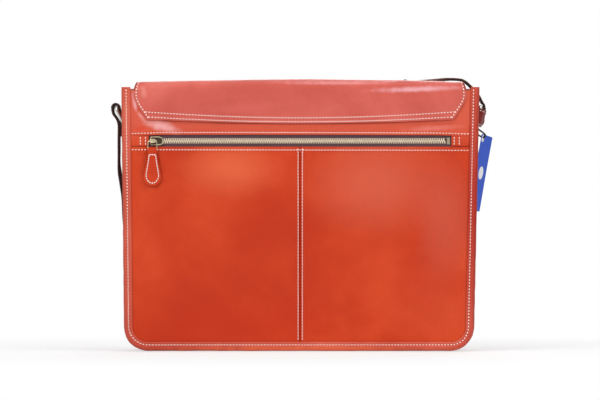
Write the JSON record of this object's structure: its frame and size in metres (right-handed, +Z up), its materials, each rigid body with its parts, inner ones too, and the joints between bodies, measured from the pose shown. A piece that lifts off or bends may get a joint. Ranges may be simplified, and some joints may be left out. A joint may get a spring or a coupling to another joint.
{
  "type": "laptop messenger bag",
  "caption": "Leather laptop messenger bag with a fold-over flap, zipped back pocket, bound edges, padded laptop divider and a shoulder strap on swinging metal rings.",
  "frame": {"origin": "middle of the flat underside, half way between the front and the back", "axes": "+Z up, -Y out of the back with the zip, +X to the right when looking at that back"},
  "size_m": [0.4338, 0.201, 0.3098],
  "materials": {
    "panel_leather": "satin",
    "flap_leather": "satin",
    "gusset_leather": "satin",
    "strap_leather": "satin",
    "lining_cloth": "matte",
    "zip_tape_cloth": "matte",
    "zip_brass": "satin",
    "antique_brass": "satin",
    "ring_steel": "polished",
    "grey_board": "matte",
    "tag_card": "satin",
    "black_plastic": "matte"
  },
  "bodies": {
    "bag": {"back_wall": "gusset_leather", "back_upper_panel": "panel_leather", "pocket_panel_left": "panel_leather", "pocket_panel_right": "panel_leather", "centre_seam_strip": "gusset_leather", "back_rim_binding": "panel_leather", "front_rim_binding": "panel_leather", "gusset_left": "gusset_leather", "gusset_right": "gusset_leather", "gusset_bottom": "gusset_leather", "zip_tape_upper": "zip_tape_cloth", "zip_tape_lower": "zip_tape_cloth", "zip_teeth_upper": "zip_brass", "zip_teeth_lower": "zip_brass", "zip_bottom_stop": "zip_brass", "zip_tab_left": "panel_leather", "zip_tab_right": "panel_leather", "flap_tail": "flap_leather", "snap_socket_left": "antique_brass", "snap_socket_right": "antique_brass", "front_panel": "gusset_leather", "front_pocket_panel": "gusset_leather", "base_board": "grey_board", "lining": "lining_cloth", "laptop_divider": "lining_cloth", "ring_tab_left": "gusset_leather", "ring_tab_right": "gusset_leather", "shoulder_strap": "strap_leather"},
    "flap_top": {"flap_top": "flap_leather"},
    "flap_front": {"flap_front": "flap_leather", "snap_stud_left": "antique_brass", "snap_stud_right": "antique_brass"},
    "slider": {"zip_slider": "antique_brass"},
    "bail": {"zip_bail": "antique_brass"},
    "pull": {"zip_pull": "panel_leather"},
    "ring_left": {"ring_left": "ring_steel"},
    "ring_right": {"ring_right": "ring_steel"},
    "tag": {"hang_tag": "tag_card", "tag_loop": "black_plastic"}
  },
  "joints": [
    {"name": "flap_top_fold", "type": "hinge", "parent": "bag", "child": "flap_top", "pos_m": [0, -0.0464, 0.302], "axis": [1, 0, 0], "range_deg": [0, 180], "deforming": ["shoulder_strap"]},
    {"name": "flap_front_fold", "type": "hinge", "parent": "flap_top", "child": "flap_front", "pos_m": [0, 0.0505, 0.302], "axis": [1, 0, 0], "range_deg": [0, 180]},
    {"name": "zip_slide", "type": "slide", "parent": "bag", "child": "slider", "axis": [1, 0, 0], "range_m": [0, 0.316], "deforming": ["zip_teeth_upper", "zip_teeth_lower"]},
    {"name": "bail_swing", "type": "hinge", "parent": "slider", "child": "bail", "pos_m": [-0.1663, -0.0491, 0.2368], "axis": [-1, 0, 0], "range_deg": [0, 100]},
    {"name": "pull_swing", "type": "hinge", "parent": "bail", "child": "pull", "pos_m": [-0.1663, -0.0491, 0.2269], "axis": [-1, 0, 0], "range_deg": [0, 60]},
    {"name": "ring_left_swing", "type": "hinge", "parent": "bag", "child": "ring_left", "pos_m": [-0.1974, 0, 0.2513], "axis": [0, -1, 0], "range_deg": [-28, 64]},
    {"name": "ring_right_swing", "type": "hinge", "parent": "bag", "child": "ring_right", "pos_m": [0.1974, 0, 0.2513], "axis": [0, 1, 0], "range_deg": [-20, 72]},
    {"name": "tag_swing", "type": "hinge", "parent": "bag", "child": "tag", "pos_m": [0.1974, 0.0115, 0.2513], "axis": [0, -1, 0], "range_deg": [0, 12]}
  ]
}
